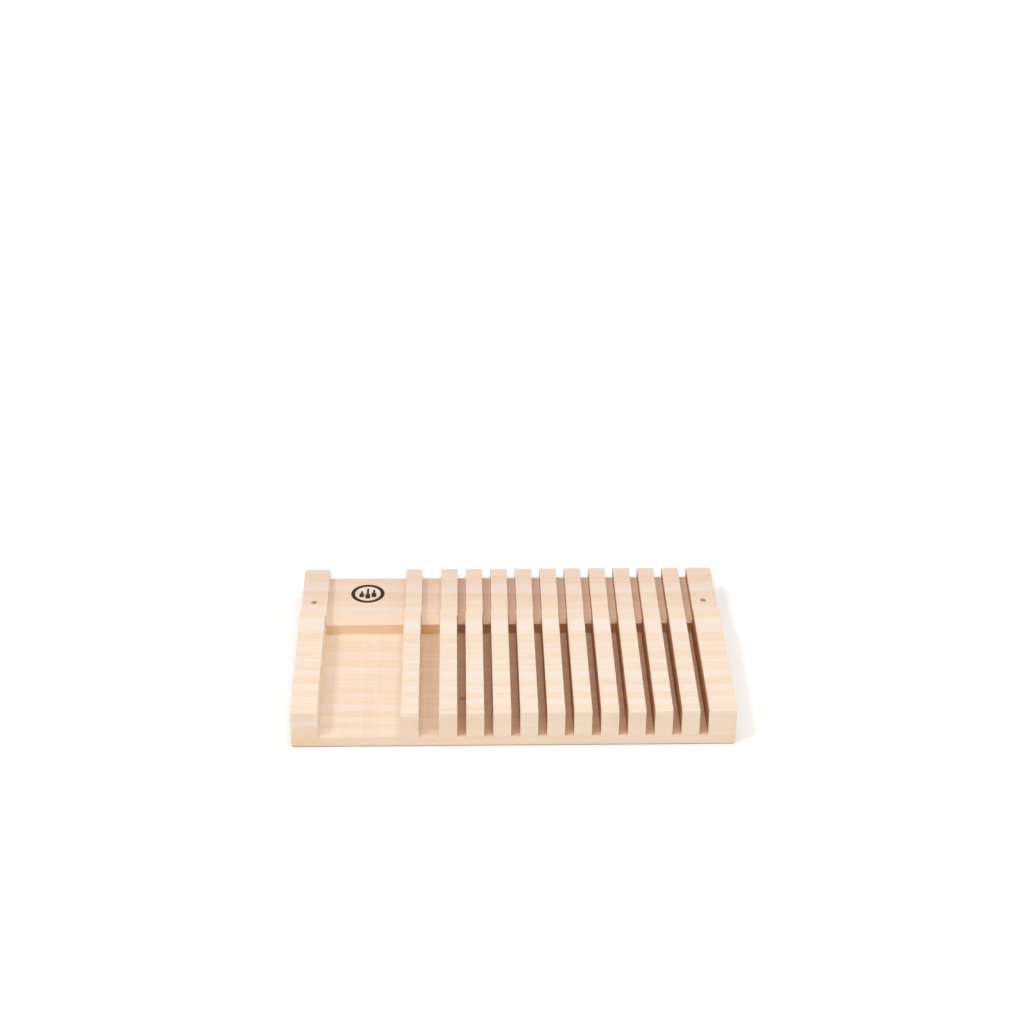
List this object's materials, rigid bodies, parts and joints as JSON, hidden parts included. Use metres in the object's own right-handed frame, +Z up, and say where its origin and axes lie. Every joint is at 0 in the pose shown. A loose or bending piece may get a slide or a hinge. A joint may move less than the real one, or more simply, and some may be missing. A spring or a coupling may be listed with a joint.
{
  "type": "tool storage caddy",
  "caption": "Low wooden rack for hobby tools: rails run front to back over a base board with a raised rear ledge, leaving a wide bay, a medium slot and narrow slots.",
  "frame": {"origin": "centre of the rack's length and depth, on its underside", "axes": "+X to the right along the length, +Y to the rear where the raised ledge is, +Z up"},
  "size_m": [0.23, 0.144, 0.0212],
  "materials": {
    "base_pine": "bare sanded pine",
    "ledge_pine": "bare sanded pine",
    "rail_pine": "bare sanded pine"
  },
  "bodies": {
    "root": {"base_board": "base_pine", "rear_ledge": "ledge_pine", "front_left_end_rail": "rail_pine", "front_bay_rail": "rail_pine", "front_divider_01": "rail_pine", "front_divider_02": "rail_pine", "front_divider_03": "rail_pine", "front_divider_04": "rail_pine", "front_divider_05": "rail_pine", "front_divider_06": "rail_pine", "front_divider_07": "rail_pine", "front_divider_08": "rail_pine", "front_divider_09": "rail_pine", "front_divider_10": "rail_pine", "front_right_end_rail": "rail_pine", "rear_left_end_rail": "rail_pine", "rear_bay_rail": "rail_pine", "rear_divider_01": "rail_pine", "rear_divider_02": "rail_pine", "rear_divider_03": "rail_pine", "rear_divider_04": "rail_pine", "rear_divider_05": "rail_pine", "rear_divider_06": "rail_pine", "rear_divider_07": "rail_pine", "rear_divider_08": "rail_pine", "rear_divider_09": "rail_pine", "rear_divider_10": "rail_pine", "rear_right_end_rail": "rail_pine"}
  },
  "joints": []
}
